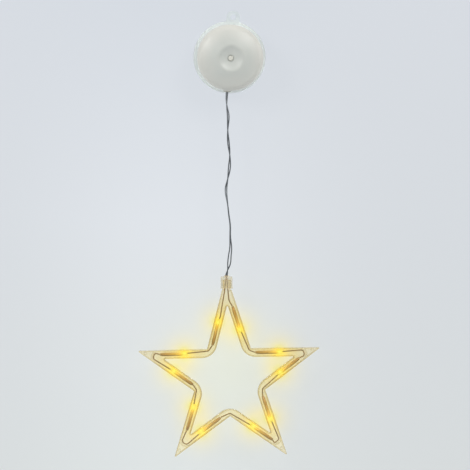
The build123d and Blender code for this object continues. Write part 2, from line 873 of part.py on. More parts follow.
def string_wires():
    """The wires between the sleeves, in order, from the cap round the star and back to the cap."""
    rows = limbs()
    half = limb_width / 2
    level = string_rise
    entry_y = cap_top + cap_peak_height
    left_entry = neck_x - lead_spacing / 2
    right_entry = neck_x + lead_spacing / 2
    heads = [
        row.place(sleeve_start(row, share) - sleeve_gap, half, level)
        for row, share in zip(rows, light_shares)
    ]
    tails = [
        row.place(sleeve_end(row, share) + sleeve_gap, half, level)
        for row, share in zip(rows, light_shares)
    ]
    first = [Vector(left_entry, entry_y, level), Vector(left_entry, neck_top - star_wall, level)]
    for along_share, across_share in first_wire_shares:
        first.append(rows[0].place(along_share * rows[0].length, across_share * limb_width, level))
    wires = [tube(first + [heads[0]], wire_radius, first_bend_radius)]
    for index in range(len(rows) - 1):
        if index % 2 == 0:
            corner = ray(star_corner_radius - corner_wire_inset, -(index + 1) / 2 * arm_angle)
            turns = [Vector(corner.X, corner.Y, level)]
            bend = corner_bend_radius
        else:
            angle = -(index + 1) / 2 * arm_angle
            middle = ray(tip_turn_reach, angle)
            side = ray(tip_turn_half, angle + full_turn / 4)
            turns = [middle + side, middle - side]
            turns = [Vector(point.X, point.Y, level) for point in turns]
            bend = tip_bend_radius
        wires.append(tube([tails[index], *turns, heads[index + 1]], wire_radius, bend))
    last = [tails[-1]]
    for along_share, across_share in last_wire_shares:
        last.append(rows[-1].place(along_share * rows[-1].length, across_share * limb_width, level))
    last += [Vector(right_entry, neck_top - star_wall, level), Vector(right_entry, entry_y, level)]
    wires.append(tube(last, wire_radius, last_bend_radius))
    return wires


# Every piece by its name, in its place

unit_pieces = {
    "suction_cup": suction_cup(),
    "back_cover": back_cover(),
    "front_housing": front_housing(),
    "push_button": push_button(),
    "switch_plunger": switch_plunger(),
    "battery_tray": battery_tray(),
    "terminal_positive": contact((2,), end=1),
    "terminal_negative": contact((0,), end=-1, spring_cell=0),
    "cell_link_top": contact((0, 1), end=1, spring_cell=1),
    "cell_link_bottom": contact((1, 2), end=-1, spring_cell=2),
    "tray_screws": tray_screws(),
    "circuit_board": circuit_board(),
    "push_switch": push_switch(),
    "timer_chip": component(chip_length, chip_width, chip_height, chip_place_shares),
    "resistor": component(resistor_length, resistor_width, resistor_height, resistor_place_shares),
    "feed_wire_red": feed_wire(-1),
    "feed_wire_black": feed_wire(1),
    "cord_gland": cord_gland(),
    "wire_knot": wire_knot(),
}
for index in range(cell_count):
    unit_pieces[f"battery_{index + 1}"] = battery(index)

star_pieces = {
    "hanger_cap": hanger_cap(),
    "star_front_shell": star_front_shell(),
    "star_back_cover": star_back_cover(),
}
for number, (limb, share) in enumerate(zip(limbs(), light_shares), start=1):
    star_pieces[f"light_{number}"] = light(limb, share)
    star_pieces[f"light_sleeve_{number}"] = light_sleeve(limb, share)
for number, wire in enumerate(string_wires(), start=1):
    star_pieces[f"string_wire_{number}"] = wire

pieces = {name: unit_place * piece for name, piece in unit_pieces.items()}
pieces |= {name: star_place * piece for name, piece in star_pieces.items()}
pieces["lead_wire_a"] = lead_wire("lead_wire_a", lead_a_route)
pieces["lead_wire_b"] = lead_wire("lead_wire_b", lead_b_route)

os.makedirs("parts", exist_ok=True)
for name, piece in pieces.items():
    export_step(piece, f"parts/{name}.step")
print(len(pieces), "pieces")
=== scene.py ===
from math import cos, pi, radians, sin

import bpy
from bpy.props import FloatProperty, FloatVectorProperty, PointerProperty
from mathutils import Matrix, Vector


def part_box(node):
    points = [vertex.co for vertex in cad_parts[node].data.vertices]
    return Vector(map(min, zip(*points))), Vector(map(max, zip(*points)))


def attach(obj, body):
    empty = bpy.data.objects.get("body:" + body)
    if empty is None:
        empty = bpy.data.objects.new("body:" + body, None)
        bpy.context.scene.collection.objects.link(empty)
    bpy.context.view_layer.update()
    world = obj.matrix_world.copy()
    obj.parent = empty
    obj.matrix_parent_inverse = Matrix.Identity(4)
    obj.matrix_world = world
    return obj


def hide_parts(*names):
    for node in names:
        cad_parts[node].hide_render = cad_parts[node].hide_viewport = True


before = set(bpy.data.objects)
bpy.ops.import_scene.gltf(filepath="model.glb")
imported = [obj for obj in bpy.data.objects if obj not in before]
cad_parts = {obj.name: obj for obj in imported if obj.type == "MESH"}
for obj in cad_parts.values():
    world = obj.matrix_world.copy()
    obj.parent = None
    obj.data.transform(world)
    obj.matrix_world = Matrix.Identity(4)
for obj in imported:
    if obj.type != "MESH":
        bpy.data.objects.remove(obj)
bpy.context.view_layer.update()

# A battery-lit star that hangs on a window: a pale round unit on a translucent suction cup, a
# loosely twisted pair of thin wires, and a clear hollow star with ten small warm lights.
#
# Metres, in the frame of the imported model: +Y goes into the glass and +Z is up, so the front is
# seen looking along +Y.

bl_info = {
    "name": "Lighted window star",
    "version": (1, 0, 0),
    "blender": (4, 5, 0),
    "location": "View3D > Sidebar > Window star",
    "description": "Models and finishes the window star's pieces, and sets up its stage",
    "category": "Add Mesh",
}

MM = 0.001

# The way towards the viewer, what takes the depth out of a place, and the turn that stands a new
# flat piece upright
FRONT = Vector((0, -1, 0))
FLAT = Vector((1, 0, 1))
UPRIGHT = (pi / 2, 0, 0)

BLACK = (0, 0, 0)
WHITE = (1, 1, 1)
LIGHT_COUNT = 10


def paint(red, green, blue):
    """A colour as a screen shows it, 0 to 255, as the linear values that a shader takes."""
    shares = (red / 255, green / 255, blue / 255)
    return tuple(s / 12.92 if s <= 0.04045 else ((s + 0.055) / 1.055) ** 2.4 for s in shares)


def colour(name, description, value):
    return FloatVectorProperty(
        name=name, description=description, default=paint(*value), subtype="COLOR", min=0, max=1
    )


def length(name, description, value):
    return FloatProperty(name=name, description=description, default=value, unit="LENGTH")


def angle(name, description, value):
    return FloatProperty(name=name, description=description, default=value, subtype="ANGLE")


def share(name, description, value):
    return FloatProperty(
        name=name, description=description, default=value, min=0, max=1, subtype="FACTOR"
    )


# Shader nodes


def set_socket(tree, socket, value):
    """Gives a socket a constant, or links it to a Value."""
    if isinstance(value, Value):
        tree.links.new(value.socket, socket)
    elif socket.type == "RGBA" and len(value) == 3:
        socket.default_value = (*value, 1)
    else:
        socket.default_value = value


class Value:
    """A node's output. Python's operators on it add Math nodes."""

    def __init__(self, graph, socket):
        self.graph = graph
        self.socket = socket

    def math(self, operation, *others):
        inputs = dict(enumerate((self, *others)))
        return self.graph.node("ShaderNodeMath", {"operation": operation}, inputs)

    def __add__(self, other):
        return self.math("ADD", other)

    def __sub__(self, other):
        return self.math("SUBTRACT", other)

    def __rsub__(self, other):
        return self * -1 + other

    def __mul__(self, other):
        return self.math("MULTIPLY", other)

    def __truediv__(self, other):
        return self.math("DIVIDE", other)

    def __rtruediv__(self, other):
        return self.math("POWER", -1) * other

    __radd__ = __add__
    __rmul__ = __mul__

    def bell(self, width):
        """1 where the value is 0, falling off on both sides over a width."""
        scaled = self / width
        return (scaled * scaled * -1).math("EXPONENT")

    def rise(self, start, end, most=1):
        """0 before a start, most beyond an end, and a straight line between them."""
        inputs = {"Value": self, "From Min": start, "From Max": end, "To Max": most}
        return self.graph.node("ShaderNodeMapRange", inputs=inputs)


class Graph:
    """Adds nodes to a shader's tree."""

    def __init__(self, tree):
        self.tree = tree

    def node(self, kind, settings=None, inputs=None, output=0):
        """Adds a node: its settings first, then the values or links of its sockets."""
        made = self.tree.nodes.new(kind)
        for key, value in (settings or {}).items():
            if key == "stops":
                self.set_stops(made.color_ramp, value)
            else:
                setattr(made, key, value)
        for key, value in (inputs or {}).items():
            set_socket(self.tree, made.inputs[key], value)
        return Value(self, made.outputs[output])

    def set_stops(self, ramp, stops):
        while len(ramp.elements) < len(stops):
            ramp.elements.new(1)
        for element, (place, stop_colour) in zip(ramp.elements, stops):
            element.position = place
            element.color = (*stop_colour, 1)

    def place(self):
        return self.node("ShaderNodeTexCoord", output="Object")

    def axis(self, name, vector=None):
        """One axis of a vector, or else of the point's place."""
        return self.node("ShaderNodeSeparateXYZ", inputs={0: vector or self.place()}, output=name)

    def vector_math(self, operation, *vectors, output="Vector"):
        settings = {"operation": operation}
        return self.node("ShaderNodeVectorMath", settings, dict(enumerate(vectors)), output)

    def flat_place(self):
        """The point's place, seen from the front."""
        return self.vector_math("MULTIPLY", self.place(), FLAT)

    def noise(self, scale, detail=2, roughness=0.5):
        inputs = {
            "Vector": self.place(),
            "Scale": scale,
            "Detail": detail,
            "Roughness": roughness,
        }
        return self.node("ShaderNodeTexNoise", inputs=inputs)

    def mix(self, factor, first, second, blend="MIX"):
        inputs = {0: factor, 6: first, 7: second}
        settings = {"data_type": "RGBA", "blend_type": blend}
        return self.node("ShaderNodeMix", settings, inputs, output=2)

    def mix_shaders(self, factor, first, second):
        return self.node("ShaderNodeMixShader", inputs={0: factor, 1: first, 2: second})

    def ramp(self, factor, stops):
        return self.node("ShaderNodeValToRGB", {"stops": stops}, {"Fac": factor})

    def ray(self, kind):
        """1 for light paths of a kind, such as Is Shadow Ray."""
        return self.node("ShaderNodeLightPath", output=kind)


class Finish(Graph):
    """A material of one Principled shader, or of what is put in its place. Its constants are named
    like that shader's sockets, as in transmission_weight."""

    def __init__(self, name, base, **constants):
        self.material = bpy.data.materials.new(name)
        self.material.use_nodes = True
        super().__init__(self.material.node_tree)
        self.shader = self.tree.nodes["Principled BSDF"]
        self.put("Base Color", base)
        for key, value in constants.items():
            self.put(key.replace("_", " ").title().replace("Ior", "IOR"), value)

    def put(self, socket_name, value):
        set_socket(self.tree, self.shader.inputs[socket_name], value)

    def bump(self, height, strength, depth=0.05 * MM):
        inputs = {"Height": height, "Strength": strength, "Distance": depth}
        self.put("Normal", self.node("ShaderNodeBump", inputs=inputs))

    def shine(self, emission, strength=1):
        """Light that the piece gives off. It isn't sampled as a lamp."""
        self.put("Emission Color", emission)
        self.put("Emission Strength", strength)
        self.material.cycles.emission_sampling = "NONE"

    def send(self, socket_name, shader):
        """Links a shader to the Surface or Volume of the material's output."""
        set_socket(self.tree, self.tree.nodes["Material Output"].inputs[socket_name], shader)

    def body_shader(self):
        return Value(self, self.shader.outputs["BSDF"])

    def pass_shadow_light(self, tint):
        """Lets lamps shine through a clear piece, tinted, in place of a dark shadow."""
        clear = self.node("ShaderNodeBsdfTransparent", inputs={"Color": tint})
        surface = self.mix_shaders(self.ray("Is Shadow Ray"), self.body_shader(), clear)
        self.send("Surface", surface)


def dress(material, *node_names):
    """Gives CAD nodes a material."""
    for name in node_names:
        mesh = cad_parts[name].data
        mesh.materials.clear()
        mesh.materials.append(material)


def middle(node_name):
    low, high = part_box(node_name)
    return (low + high) / 2


# Modelling

SAME_POINT = 0.001 * MM


def choose(piece):
    """Makes a piece the only one selected."""
    bpy.ops.object.select_all(action="DESELECT")
    piece.select_set(True)
    bpy.context.view_layer.objects.active = piece


def edit(piece, kind="FACE", chosen=None):
    """Opens a piece in edit mode with all of it selected, or only what a test chooses."""
    choose(piece)
    bpy.ops.object.mode_set(mode="EDIT")
    bpy.ops.mesh.select_mode(type=kind)
    bpy.ops.mesh.select_all(action="SELECT" if chosen is None else "DESELECT")
    if chosen:
        bpy.ops.object.mode_set(mode="OBJECT")
        parts = {"FACE": "polygons", "VERT": "vertices"}[kind]
        for part in getattr(piece.data, parts):
            part.select = chosen(part)
        bpy.ops.object.mode_set(mode="EDIT")


def close():
    bpy.ops.object.mode_set(mode="OBJECT")


def set_down(name):
    """Names the new piece, and moves its place into its mesh."""
    piece = bpy.context.object
    piece.name = name
    bpy.ops.object.transform_apply(location=True, rotation=True, scale=True)
    return piece


def merged_copy(node_name, name):
    """A copy of a CAD node as a piece of its own, with its loose triangles joined."""
    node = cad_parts[node_name]
    piece = bpy.data.objects.new(name, node.data.copy())
    bpy.context.scene.collection.objects.link(piece)
    edit(piece)
    bpy.ops.mesh.remove_doubles(threshold=SAME_POINT)
    bpy.ops.mesh.customdata_custom_splitnormals_clear()
    close()
    return piece


def stand_for(piece, body, material, node_name):
    """Finishes a piece, sets it on its body and puts it in place of its CAD node."""
    piece.data.materials.clear()
    piece.data.materials.append(material)
    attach(piece, body)
    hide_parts(node_name)


def light_shine(finish, reach):
    """What all the lights give together at a point, seen from the front, from 0 to 1, each falling
    off over a reach."""
    place = finish.flat_place()
    shine = 0
    for number in range(1, LIGHT_COUNT + 1):
        light = middle(f"light_{number}") * FLAT
        shine += finish.vector_math("DISTANCE", place, light, output="Value").bell(reach)
    return shine.math("MINIMUM", 1)


# What a user would change


class UnitSettings(bpy.types.PropertyGroup):
    housing_cool: colour("Housing, cool", "Cooler colour of the moulded shell", (190, 194, 188))
    housing_warm: colour("Housing, warm", "Warmer colour of the same shell", (197, 197, 190))
    # Painted light: the rim colour stands in for light falling on the shell's rim
    rim_light_colour: colour("Housing's rim", "Colour of the shell towards its rim", (202, 201, 193))
    texture_size: length("Mould texture", "Size of the grain of the moulded shell", 0.4 * MM)
    button_deep: colour("Button, deep", "Deeper colour of the small round button", (202, 201, 190))
    button_pale: colour("Button, pale", "Paler colour of the same button", (215, 214, 203))
    cup_colour: colour("Cup", "Tint of the translucent suction cup", (238, 241, 236))
    tab_colour: colour("Pull tab", "Tint of the cup's thin pull tab", (228, 232, 231))


class CordSettings(bpy.types.PropertyGroup):
    diameter: length("Diameter", "Thickness of one lead wire", 1.2 * MM)
    dark_colour: colour("Wire, dark", "Darker colour of the wires' jacket", (56, 60, 64))
    light_colour: colour("Wire, light", "Lighter colour of the same jacket", (97, 102, 106))
    # Painted sheen: a paler colour standing in for a highlight on the jacket
    sheened_colour: colour("Wire, rubbed", "Colour of the jacket where rubbed", (160, 165, 168))


class StarSettings(bpy.types.PropertyGroup):
    plate_tint: colour("Plate tint", "Tint of the clear front and back", (255, 252, 243))
    # Painted light: the plates take a warmer tint in reach of a light
    lit_tint: colour("Lit plate tint", "Tint of the plates in reach of a light", (253, 247, 225))
    tint_reach: length("Tint reach", "How far from a light that tint reaches", 24 * MM)
    wall_tint: colour("Wall tint", "Tint that light takes on its way along a wall", (250, 240, 214))
    wall_density: FloatProperty(
        name="Wall density", description="How soon the walls take their tint", default=60
    )
    # Painted shade: the edge tints darken the plastic along its edges and upright walls, standing
    # in for refraction and reflections there; the lit edge tint adds painted light next to a light
    edge_shade_tint: colour("Edge tint", "Tint of the plastic along its edges", (217, 205, 170))
    tip_edge_shade_tint: colour("Tip edge tint", "Tint of an edge far from the lights", (232, 223, 202))
    upright_shade_tint: colour("Upright tint", "Tint along upright edges and walls", (225, 216, 196))
    glow_edge_shade_tint: colour("Lit edge tint", "Tint of an edge next to a light", (236, 212, 128))
    edge_shade_reach: length("Edge reach", "Width of the tint along an edge", 1.8 * MM)
    # Painted light: the clear plastic glows next to each light and faintly far from them, though it
    # is no lamp
    glow_tint: colour("Glow tint", "Tint of the clear plastic next to a light", (255, 251, 216))
    glow_colour: colour("Glow", "Light that the clear plastic gives off at a light", (74, 58, 5))
    far_glow_colour: colour("Warmth", "Light that it gives off far from the lights", (38, 34, 14))
    glow_reach: length("Glow reach", "How far a light's glow reaches along its limb", 7.5 * MM)
    cap_deep: colour("Cap, deep", "Deeper tint of the soft cap", (234, 226, 202))
    cap_pale: colour("Cap, pale", "Paler tint of the same cap", (246, 240, 222))


class LightSettings(bpy.types.PropertyGroup):
    light_colour: colour("Light", "Colour of the lights themselves", (182, 168, 48))
    core_colour: colour("Light's middle", "Colour of a light's brightest part", (212, 218, 112))
    core_reach: length("Middle's reach", "How far that brightest part reaches", 2.6 * MM)
    sleeve_reach: length("Sleeve glow", "How far a light's glow reaches along its sleeve", 6 * MM)
    string_dark: colour("String wire, dark", "Darker colour of the string wire", (98, 72, 30))
    string_light: colour("String wire, light", "Lighter colour of the same wire", (134, 104, 54))
    halo_near: length("Near halo", "How far the dense part of a light's halo reaches", 6.5 * MM)
    halo_far: length("Far halo", "How far the faint part of a light's halo reaches", 16 * MM)
    halo_colour: colour("Halo", "Glow of the air round a light", (103, 60, 0))
    haze_colour: colour("Haze", "Glow of the air within the star", (63, 63, 0))
    haze_reach: length("Haze's reach", "How far from the star's middle the haze reaches", 60 * MM)


class StageSettings(bpy.types.PropertyGroup):
    frame_width: length("Frame width", "Width that the photograph's frame covers", 0.470)
    camera_distance: length("Camera distance", "From the camera to the frame's middle", 6.0)
    azimuth: angle("Azimuth", "Camera's angle to the right", radians(-2.3))
    elevation: angle("Elevation", "Camera's angle above", radians(3.6))
    lamp_power: FloatProperty(
        name="Lamp power", description="Power of a full soft lamp", default=13, subtype="POWER"
    )
    room_light: share("Room light", "Strength of the light from all round", 0.145)


# Stage

# What the camera and the lamps look at
FRAME_MIDDLE = Vector((5 * MM, -12 * MM, -177.5 * MM))
LAMP_TARGET = (0, 0, -0.1)

# Millimetres, like the lens that is worked out from it
SENSOR_WIDTH = 36

# Each lamp's name, place, diameter and share of a full lamp's power
LAMPS = (
    ("lamp_left", (-1.2, -1.05, 0.75), 0.7, 1.08),
    ("lamp_right", (0.9, -1.15, 1.0), 0.8, 1),
    ("fill_left", (-1.6, -0.25, 0.3), 1.0, 0.25),
    ("fill_right", (1.6, -0.25, 0.3), 1.0, 0.5),
    ("lamp_top", (0.1, -0.8, 1.7), 1.4, 0.6),
)

ROOM_COLOUR = paint(218, 223, 229)
ROOM_LIGHT_COLOUR = (0.8, 0.8, 0.8)

WALL_SIZE = 4
WALL_PLACE = (0, 1 * MM, 0)

# The wall glows by itself. Its glow changes between two heights, in one way at the sides and in
# another in an upright band. Its base colour is dark, so that the lamps add little.
WALL_COLOUR = (0.1, 0.1, 0.1)
WALL_BRIGHTNESS = 0.89
WALL_LOW, WALL_HIGH = -0.42, 0.05
WALL_BAND_MIDDLE = -0.06
WALL_BAND_REACH = 0.14
WALL_EDGE_STOPS = (
    (0, paint(212, 217, 218)),
    (0.5, paint(211, 216, 221)),
    (1, paint(211, 216, 223)),
)
WALL_BAND_STOPS = (
    (0, paint(221, 227, 227)),
    (0.3, paint(222, 227, 229)),
    (0.55, paint(222, 227, 233)),
    (1, paint(210, 216, 224)),
)

FLOOR_SIZE = 14
FLOOR_PLACE = (0, 0, -0.47)
FLOOR_DARK, FLOOR_LIGHT = paint(210, 214, 218), paint(218, 222, 226)


def aim(thing, location, target):
    thing.location = location
    thing.rotation_euler = (Vector(target) - Vector(location)).to_track_quat("-Z", "Y").to_euler()


class STAR_OT_stage(bpy.types.Operator):
    """Sets the camera, the soft lamps, the room's light, the backdrop and the floor"""

    bl_idname = "window_star.stage"
    bl_label = "Stage"

    def execute(self, context):
        settings = context.scene.star_stage
        self.add_camera(settings)
        for name, place, size, power in LAMPS:
            self.add_lamp(name, place, size, power * settings.lamp_power)
        self.add_room(settings)
        self.add_backdrop()
        self.add_floor()
        context.scene.view_settings.view_transform = "Standard"
        return {"FINISHED"}

    def add_camera(self, settings):
        a, e = settings.azimuth, settings.elevation
        back = Vector((sin(a) * cos(e), -cos(a) * cos(e), sin(e)))
        bpy.ops.object.camera_add()
        camera = bpy.context.object
        aim(camera, FRAME_MIDDLE + back * settings.camera_distance, FRAME_MIDDLE)
        camera.data.sensor_width = SENSOR_WIDTH
        camera.data.lens = SENSOR_WIDTH * settings.camera_distance / settings.frame_width
        bpy.context.scene.camera = camera

    def add_lamp(self, name, place, size, power):
        bpy.ops.object.light_add(type="AREA")
        lamp = bpy.context.object
        lamp.name = name
        lamp.data.shape = "DISK"
        lamp.data.size = size
        lamp.data.energy = power
        lamp.visible_camera = False
        lamp.visible_transmission = False
        aim(lamp, place, LAMP_TARGET)

    def add_room(self, settings):
        """A pale room round the stage, which clear and shiny pieces show too. Its light is dim."""
        world = bpy.data.worlds.new("room")
        bpy.context.scene.world = world
        world.use_nodes = True
        world.node_tree.nodes.clear()
        graph = Graph(world.node_tree)
        shown = graph.ray("Is Camera Ray").math("MAXIMUM", graph.ray("Is Transmission Ray"))
        shown = shown.math("MAXIMUM", graph.ray("Is Glossy Ray"))
        inputs = {"Color": ROOM_LIGHT_COLOUR, "Strength": settings.room_light}
        lighting = graph.node("ShaderNodeBackground", inputs=inputs)
        room = graph.node("ShaderNodeBackground", inputs={"Color": ROOM_COLOUR})
        output = world.node_tree.nodes.new("ShaderNodeOutputWorld")
        surface = graph.mix_shaders(shown, lighting, room)
        set_socket(world.node_tree, output.inputs["Surface"], surface)

    def add_backdrop(self):
        """A pale wall just behind the cup, with a lighter upright band. From behind it is clear, so
        that the object's back can be seen."""
        bpy.ops.mesh.primitive_plane_add(size=WALL_SIZE, location=WALL_PLACE, rotation=UPRIGHT)
        wall = set_down("backdrop")
        finish = Finish("backdrop", WALL_COLOUR, roughness=1, specular_ior_level=0)
        height = finish.axis("Z").rise(WALL_LOW, WALL_HIGH)
        edges = finish.ramp(height, WALL_EDGE_STOPS)
        inner = finish.ramp(height, WALL_BAND_STOPS)
        band = (finish.axis("X") - WALL_BAND_MIDDLE).bell(WALL_BAND_REACH)
        shown = finish.mix(band, edges, inner)
        finish.shine(finish.mix(finish.ray("Is Diffuse Ray"), shown, WHITE), WALL_BRIGHTNESS)
        behind = finish.node("ShaderNodeNewGeometry", output="Backfacing")
        clear = finish.node("ShaderNodeBsdfTransparent")
        finish.send("Surface", finish.mix_shaders(behind, finish.body_shader(), clear))
        wall.data.materials.append(finish.material)

    def add_floor(self):
        bpy.ops.mesh.primitive_plane_add(size=FLOOR_SIZE, location=FLOOR_PLACE)
        floor = set_down("floor")
        finish = Finish("floor", FLOOR_DARK, roughness=0.9)
        finish.put("Base Color", finish.mix(finish.noise(60, detail=3), FLOOR_DARK, FLOOR_LIGHT))
        floor.data.materials.append(finish.material)


# Lead wires. Each route has the CAD's points, in millimetres, from the knot down to the cap, moved
# by up to 4 mm to follow the photographed wires: side by side where these part, and one behind the
# other where they show as one line. The first two stand a little nearer to the gland's middle than
# the CAD's, to clear its mouth when the star swings.

LEAD_A_ROUTE = (
    (-3.66, -18.0, -32.6),
    (-4.35, -18.0, -38.5),
    (-3.7, -19.1, -47.0),
    (-0.6, -18.0, -58.0),
    (-2.7, -17.0, -72.5),
    (-2.7, -18.0, -86.0),
    (-0.2, -19.0, -97.5),
    (0.5, -18.0, -110.0),
    (-2.4, -17.0, -121.0),
    (-5.8, -18.0, -132.0),
    (-2.5, -19.0, -146.0),
    (-1.5, -18.7, -156.0),
    (0.3, -18.7, -167.0),
    (0.0, -18.7, -179.0),
    (1.7, -18.3, -190.0),
    (0.8, -18.0, -198.0),
    (0.5, -18.0, -206.0),
    (-2.7, -16.6, -212.5),
    (-4.61, -18.0, -217.5),
)
LEAD_B_ROUTE = (
    (-2.40, -18.0, -32.6),
    (-2.85, -18.0, -38.5),
    (-3.7, -16.9, -47.0),
    (-2.7, -18.0, -58.0),
    (-2.7, -19.0, -72.5),
    (-0.8, -18.0, -86.0),
    (-0.2, -17.0, -97.5),
    (-1.9, -18.0, -110.0),
    (-2.4, -19.0, -121.0),
    (-3.8, -18.0, -132.0),
    (-2.5, -17.0, -146.0),
    (-1.7, -17.3, -156.0),
    (0.0, -17.3, -167.0),
    (-0.3, -17.3, -179.0),
    (-0.2, -17.7, -190.0),
    (-1.9, -18.0, -198.0),
    (-2.6, -18.0, -206.0),
    (-2.5, -19.4, -212.5),
    (-3.21, -18.0, -217.5),
)
LEAD_A_LENGTH = 187.8 * MM
LEAD_B_LENGTH = 186.3 * MM

# Heights and strengths of the wires' painted sheen, a paler colour standing in for a highlight:
# towards the unit, and in one short stretch further down
SHEEN_STARTS, SHEEN_FULLY = -62 * MM, -42 * MM
SHEEN_SHARE = 0.35
SHEEN_STRETCH_HEIGHT = -137 * MM
SHEEN_STRETCH_REACH = 6 * MM
SHEEN_STRETCH_SHARE = 0.45


class STAR_OT_lead_wires(bpy.types.Operator):
    """Models the twisted pair of wires that the star hangs from"""

    bl_idname = "window_star.lead_wires"
    bl_label = "Lead wires"

    def execute(self, context):
        settings = context.scene.star_cords
        material = self.wire_finish(settings)
        self.add_wire("lead_a", "lead_wire_a", LEAD_A_ROUTE, LEAD_A_LENGTH, material, settings)
        self.add_wire("lead_b", "lead_wire_b", LEAD_B_ROUTE, LEAD_B_LENGTH, material, settings)
        dress(material, "wire_knot")
        return {"FINISHED"}

    def wire_finish(self, settings):
        finish = Finish("wire_dark", settings.dark_colour, roughness=0.42)
        wear = finish.noise(900, detail=3)
        jacket = finish.mix(wear, settings.dark_colour, settings.light_colour)
        height = finish.axis("Z")
        # Painted sheen: paler towards the unit and in one short stretch further down
        sheened = height.rise(SHEEN_STARTS, SHEEN_FULLY, SHEEN_SHARE)
        sheened += (height - SHEEN_STRETCH_HEIGHT).bell(SHEEN_STRETCH_REACH) * SHEEN_STRETCH_SHARE
        finish.put("Base Color", finish.mix(sheened, jacket, settings.sheened_colour))
        finish.bump(finish.noise(2200), strength=0.25)
        return finish.material

    def add_wire(self, name, node_name, route, wire_length, material, settings):
        curve = bpy.data.curves.new(name, "CURVE")
        curve.dimensions = "3D"
        curve.bevel_depth = settings.diameter / 2
        curve.bevel_resolution = 6
        curve.resolution_u = 16
        spline = curve.splines.new("NURBS")
        spline.points.add(len(route) - 1)
        for point, place in zip(spline.points, route):
            point.co = (*(Vector(place) * MM), 1)
        spline.order_u = 3
        spline.use_endpoint_u = True
        curve.materials.append(material)
        wire = bpy.data.objects.new(name, curve)
        bpy.context.scene.collection.objects.link(wire)
        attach(wire, "star")
        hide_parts(node_name)


# Unit

# Where the painted rim light turns the housing lighter and warmer, from its middle outwards, and
# how far its clouds shift that
RIM_LIGHT_STARTS, RIM_LIGHT_FULLY = 22 * MM, 37 * MM
RIM_LIGHT_WAVER = 8 * MM

# Heights between which the cup's colour goes over to its tab's, and the tint of its shadow
TAB_STARTS, TAB_FULLY = 34 * MM, 38 * MM
CUP_SHADOW = (0.75, 0.78, 0.78)

# How bright a worn spot is, as a share of the colour round it
WEAR_SHADE = 0.86


class STAR_OT_unit(bpy.types.Operator):
    """Finishes the battery unit: cup, covers, button and what is inside"""

    bl_idname = "window_star.unit"
    bl_label = "Battery unit"

    def execute(self, context):
        settings = context.scene.star_unit
        dress(self.housing_finish(settings), "front_housing", "back_cover")
        dress(self.button_finish(settings), "push_button")
        dress(self.cup_finish(settings), "suction_cup")
        dress(self.plain("gland_soft", (188, 186, 174), 0.5), "cord_gland")
        dress(self.plain("tray_black", (38, 39, 41), 0.55), "battery_tray")
        dress(self.plain("cell_jacket", (60, 96, 84), 0.3), "battery_1", "battery_2", "battery_3")
        metal = self.metal("contact_metal", (196, 196, 190), 0.32)
        dress(metal, "terminal_positive", "terminal_negative", "cell_link_top", "cell_link_bottom")
        dress(self.metal("screw_metal", (150, 150, 152), 0.4), "tray_screws")
        dress(self.plain("board_green", (28, 92, 58), 0.35), "circuit_board")
        black = self.plain("part_black", (30, 30, 32), 0.45)
        dress(black, "push_switch", "timer_chip", "switch_plunger")
        dress(self.plain("resistor_body", (196, 178, 140), 0.45), "resistor")
        dress(self.plain("wire_red", (176, 36, 32), 0.4), "feed_wire_red")
        dress(self.plain("wire_black", (36, 36, 38), 0.4), "feed_wire_black")
        return {"FINISHED"}

    def housing_finish(self, settings):
        """Fine-grained plastic, with painted light: a little lighter and warmer towards its rim."""
        finish = Finish("housing_pale", settings.housing_cool)
        cloud = finish.noise(45, detail=3)
        face = finish.mix(cloud, settings.housing_cool, settings.housing_warm)
        out = finish.vector_math("LENGTH", finish.flat_place(), output="Value")
        # Painted light: lighter and warmer towards the rim
        rim = (out + cloud * RIM_LIGHT_WAVER).rise(RIM_LIGHT_STARTS, RIM_LIGHT_FULLY)
        finish.put("Base Color", finish.mix(rim, face, settings.rim_light_colour))
        finish.put("Roughness", finish.noise(130) * 0.08 + 0.34)
        grain = finish.noise(1 / settings.texture_size, detail=4, roughness=0.6)
        finish.bump(grain, strength=0.22)
        return finish.material

    def button_finish(self, settings):
        finish = Finish("button_pale", settings.button_deep, roughness=0.32)
        cloud = finish.noise(220)
        finish.put("Base Color", finish.mix(cloud, settings.button_deep, settings.button_pale))
        finish.bump(finish.noise(1800), strength=0.12)
        return finish.material

    def cup_finish(self, settings):
        finish = Finish("cup_soft", settings.cup_colour, ior=1.3, transmission_weight=0.78)
        on_tab = finish.axis("Z").rise(TAB_STARTS, TAB_FULLY)
        finish.put("Base Color", finish.mix(on_tab, settings.cup_colour, settings.tab_colour))
        finish.put("Roughness", finish.noise(90, detail=3) * 0.15 + 0.5)
        finish.bump(finish.noise(400), strength=0.15, depth=0.1 * MM)
        finish.pass_shadow_light(CUP_SHADOW)
        return finish.material

    def plain(self, name, base, roughness):
        """A moulded or coated surface with a little wear."""
        clean = paint(*base)
        worn = tuple(WEAR_SHADE * part for part in clean)
        finish = Finish(name, clean, roughness=roughness)
        finish.put("Base Color", finish.mix(finish.noise(260, detail=3), worn, clean))
        finish.bump(finish.noise(1500), strength=0.15)
        return finish.material

    def metal(self, name, base, roughness):
        finish = Finish(name, paint(*base), metallic=1)
        finish.put("Roughness", finish.noise(700, detail=3) * 0.2 + roughness)
        return finish.material


# Star

BACK_PLATE = 1.2 * MM
BACK_SEAT_GAP = 0.08 * MM
FACE_TOLERANCE = 0.1 * MM

# Where the painted shade of an edge's line starts and is full, as the cosine between the rounded
# and the true normal, and where the painted shade band on upright edges does, as how far the
# rounded normal points left or right
EDGE_SHADE_STARTS, EDGE_SHADE_FULLY = 0.961, 0.84
UPRIGHT_SHADE_STARTS, UPRIGHT_SHADE_FULLY = 0.05, 0.45

# Tints of the light in their shadows
STAR_SHADOW = (0.96, 0.95, 0.9)
CAP_SHADOW = (0.8, 0.78, 0.7)


